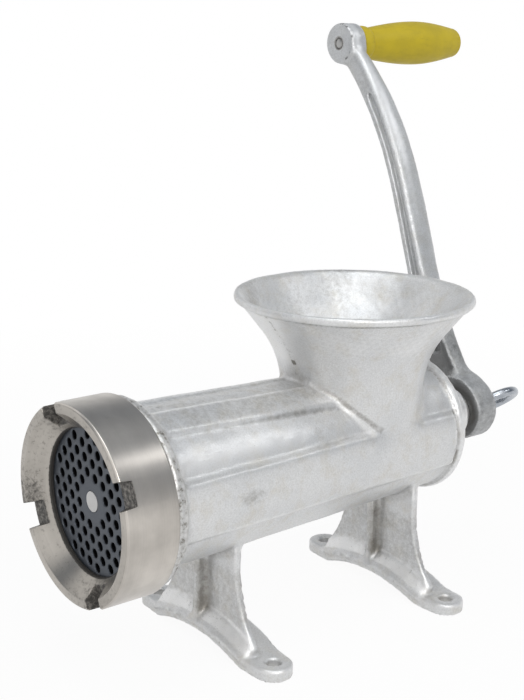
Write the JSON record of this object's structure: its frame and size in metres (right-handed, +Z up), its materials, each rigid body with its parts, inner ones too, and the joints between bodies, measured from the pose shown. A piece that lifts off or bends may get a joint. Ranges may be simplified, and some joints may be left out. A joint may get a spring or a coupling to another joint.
{
  "type": "manual meat grinder",
  "caption": "Hand-cranked meat grinder: cast barrel with flared hopper and arched bolt-down feet, notched screw ring over a hole plate, and a curved crank with a free-turning grip.",
  "frame": {"origin": "centre of the bolt holes, on the underside of the feet", "axes": "+Z up, -Y out through the hole plate, +Y towards the crank"},
  "size_m": [0.2483, 0.4659, 0.4027],
  "materials": {
    "tinned_casting": "hot tinned, satin silver with fine casting grain",
    "crank_casting": "tinned, slightly darker than the body",
    "ring_steel": "turned, with fine lines round the ring",
    "plate_steel": "dark hardened steel, ground flat",
    "knife_steel": "ground",
    "turned_steel": "turned bright",
    "zinc_steel": "bright zinc plating",
    "bush_bronze": "plain bearing bronze",
    "washer_plastic": "natural plastic",
    "grip_yellow": "mustard yellow, lightly worn"
  },
  "bodies": {
    "root": {"body_casting": "tinned_casting", "rear_bush": "bush_bronze", "plate_key": "turned_steel"},
    "plate": {"hole_plate": "plate_steel"},
    "ring": {"screw_ring": "ring_steel"},
    "rotor": {"auger": "tinned_casting", "auger_stud": "turned_steel", "cross_knife": "knife_steel", "thrust_washer": "washer_plastic"},
    "crank": {"crank_arm": "crank_casting", "grip_spindle": "turned_steel", "grip_washer": "zinc_steel"},
    "screw": {"thumb_screw": "zinc_steel"},
    "handle": {"grip": "grip_yellow"}
  },
  "joints": [
    {"name": "plate_slide", "type": "slide", "parent": "root", "child": "plate", "axis": [0, -1, 0], "range_m": [0, 0.0176]},
    {"name": "ring_turn", "type": "hinge", "parent": "plate", "child": "ring", "pos_m": [0, -0.17, 0.1185], "axis": [0, -1, 0], "range_deg": [0, 1800]},
    {"name": "crank_turn", "type": "hinge", "parent": "root", "child": "rotor", "pos_m": [0, 0.12, 0.1185], "axis": [0, 1, 0], "continuous": true},
    {"name": "crank_slide", "type": "slide", "parent": "rotor", "child": "crank", "axis": [0, 1, 0], "range_m": [0, 0.014]},
    {"name": "screw_turn", "type": "hinge", "parent": "crank", "child": "screw", "pos_m": [0, 0.171, 0.1185], "axis": [0, 1, 0], "range_deg": [0, 2890]},
    {"name": "grip_turn", "type": "hinge", "parent": "crank", "child": "handle", "pos_m": [-0.14787, 0.17, 0.38526], "axis": [0, 1, 0], "continuous": true}
  ],
  "couplings": [
    {"joint": "plate_slide", "follows": "ring_turn", "m_per_rad": 0.00055704},
    {"joint": "screw_turn", "follows": "crank_slide", "rad_per_m": 3590.4}
  ]
}
